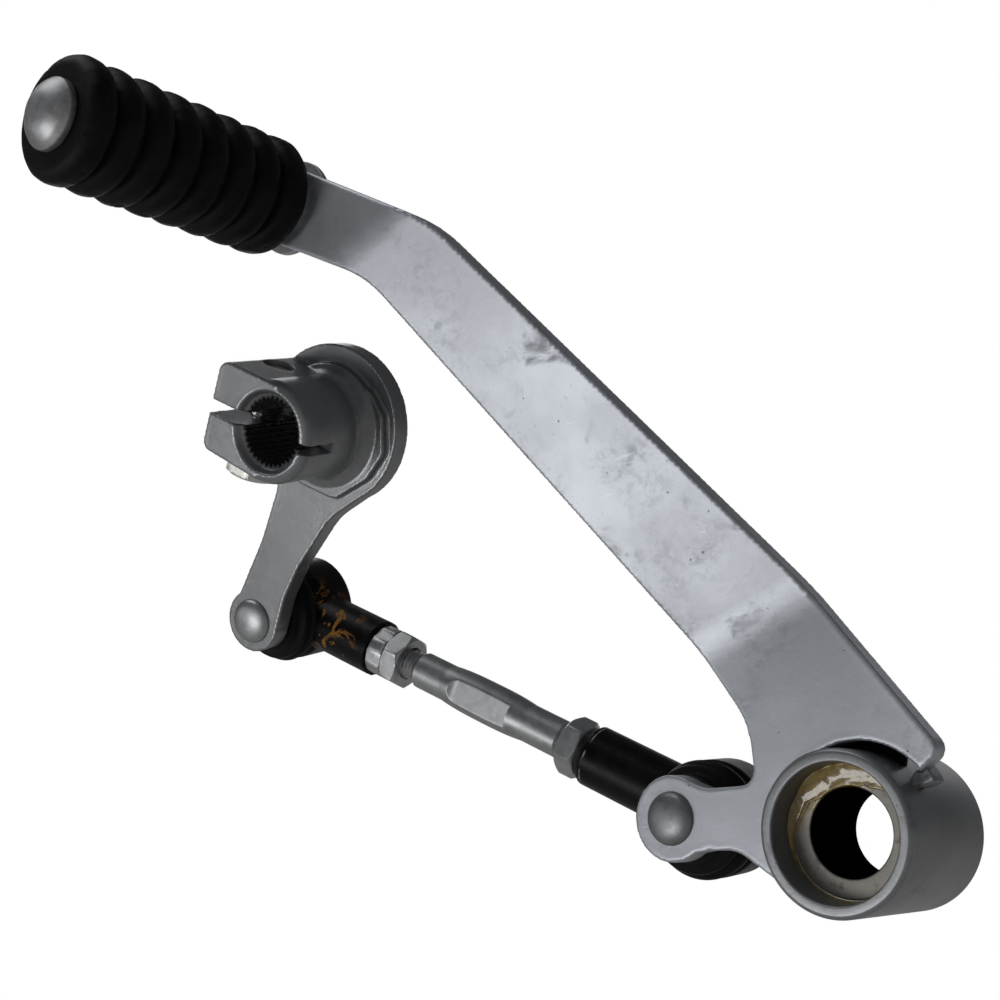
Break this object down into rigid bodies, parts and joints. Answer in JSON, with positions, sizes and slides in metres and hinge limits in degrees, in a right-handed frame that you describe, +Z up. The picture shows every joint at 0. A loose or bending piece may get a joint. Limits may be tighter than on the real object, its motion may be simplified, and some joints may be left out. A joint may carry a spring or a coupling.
{
  "type": "gear shift lever",
  "caption": "Motorcycle gear shift lever: bent plate on a pivot boss with a rubber foot peg, and an adjustable ball-jointed tie rod to a splined clamp arm.",
  "frame": {"origin": "centre of the pivot bore, halfway along the boss", "axes": "+Y along the pivot axis, inboard towards the engine; +X rearward; +Z up; the foot peg points outboard along -Y at the upper front"},
  "size_m": [0.1477, 0.1099, 0.1521],
  "materials": {
    "sleeve_steel": "machined, greased",
    "bush_bronze": "greased",
    "boss_paint": "satin grey paint",
    "plate_paint": "satin silver paint, scuffed",
    "weld": "painted weld bead",
    "peg_steel": "satin, rubbed",
    "peg_rubber": "matte, worn",
    "stud_steel": "satin zinc",
    "seat_plastic": "moulded",
    "housing_black": "gloss black, oily",
    "cap_black": "pressed plug",
    "boot_rubber": "glossy rubber",
    "rod_zinc": "satin zinc",
    "nut_zinc": "satin zinc",
    "arm_paint": "satin grey paint",
    "bolt_zinc": "bright zinc"
  },
  "bodies": {
    "sleeve": {"pivot_sleeve": "sleeve_steel"},
    "lever": {"pivot_bush": "bush_bronze", "pivot_boss": "boss_paint", "lever_plate": "plate_paint", "boss_welds": "weld", "peg_pin": "peg_steel", "peg_rubber": "peg_rubber", "lever_ball_stud": "stud_steel"},
    "lever_seat": {"lever_ball_seat": "seat_plastic"},
    "lever_rod_end": {"lever_ball_housing": "housing_black", "lever_housing_cap": "cap_black", "lever_dust_boot": "boot_rubber"},
    "rod": {"tie_rod": "rod_zinc"},
    "lever_nut": {"lever_lock_nut": "nut_zinc"},
    "arm_nut": {"arm_lock_nut": "nut_zinc"},
    "arm_rod_end": {"arm_ball_housing": "housing_black", "arm_housing_cap": "cap_black", "arm_dust_boot": "boot_rubber"},
    "arm_seat": {"arm_ball_seat": "seat_plastic"},
    "arm": {"arm_ball_stud": "stud_steel", "clamp_arm": "arm_paint"},
    "clamp_bolt": {"pinch_bolt": "bolt_zinc"}
  },
  "joints": [
    {"name": "lever_pivot", "type": "hinge", "parent": "sleeve", "child": "lever", "pos_m": [0, 0, 0], "axis": [0, 1, 0], "range_deg": [-14, 14]},
    {"name": "lever_ball_swivel", "type": "hinge", "parent": "lever", "child": "lever_seat", "pos_m": [-0.03185, 0.0054, 0.0051], "axis": [0, 1, 0], "range_deg": [-40, 1]},
    {"name": "lever_ball_tilt", "type": "hinge", "parent": "lever_seat", "child": "lever_rod_end", "pos_m": [-0.03185, 0.0054, 0.0051], "axis": [0.5047, 0, 0.8633], "range_deg": [-8, 8]},
    {"name": "rod_turn", "type": "hinge", "parent": "lever_rod_end", "child": "rod", "pos_m": [-0.03185, 0.0054, 0.0051], "axis": [-0.8561, -0.129, 0.5005], "continuous": true},
    {"name": "lever_nut_turn", "type": "hinge", "parent": "rod", "child": "lever_nut", "pos_m": [-0.03185, 0.0054, 0.0051], "axis": [-0.8561, -0.129, 0.5005], "continuous": true},
    {"name": "arm_nut_turn", "type": "hinge", "parent": "rod", "child": "arm_nut", "pos_m": [-0.03185, 0.0054, 0.0051], "axis": [-0.8561, -0.129, 0.5005], "continuous": true},
    {"name": "rod_end_twist", "type": "hinge", "parent": "lever_rod_end", "child": "arm_rod_end", "pos_m": [-0.03185, 0.0054, 0.0051], "axis": [-0.8561, -0.129, 0.5005], "range_deg": [-8, 8]},
    {"name": "arm_ball_tilt", "type": "hinge", "parent": "arm_rod_end", "child": "arm_seat", "pos_m": [-0.1208, -0.008, 0.0571], "axis": [0.5168, -0.2116, 0.8295], "range_deg": [-8, 8]},
    {"name": "arm_ball_swivel", "type": "hinge", "parent": "arm_seat", "child": "arm", "pos_m": [-0.1208, -0.008, 0.0571], "axis": [-0.0642, 0.9567, 0.284], "range_deg": [-30, 30]},
    {"name": "pinch_bolt_turn", "type": "hinge", "parent": "arm", "child": "clamp_bolt", "pos_m": [-0.09392, -0.03939, 0.08776], "axis": [-0.5879, 0.1937, -0.7854], "continuous": true}
  ]
}
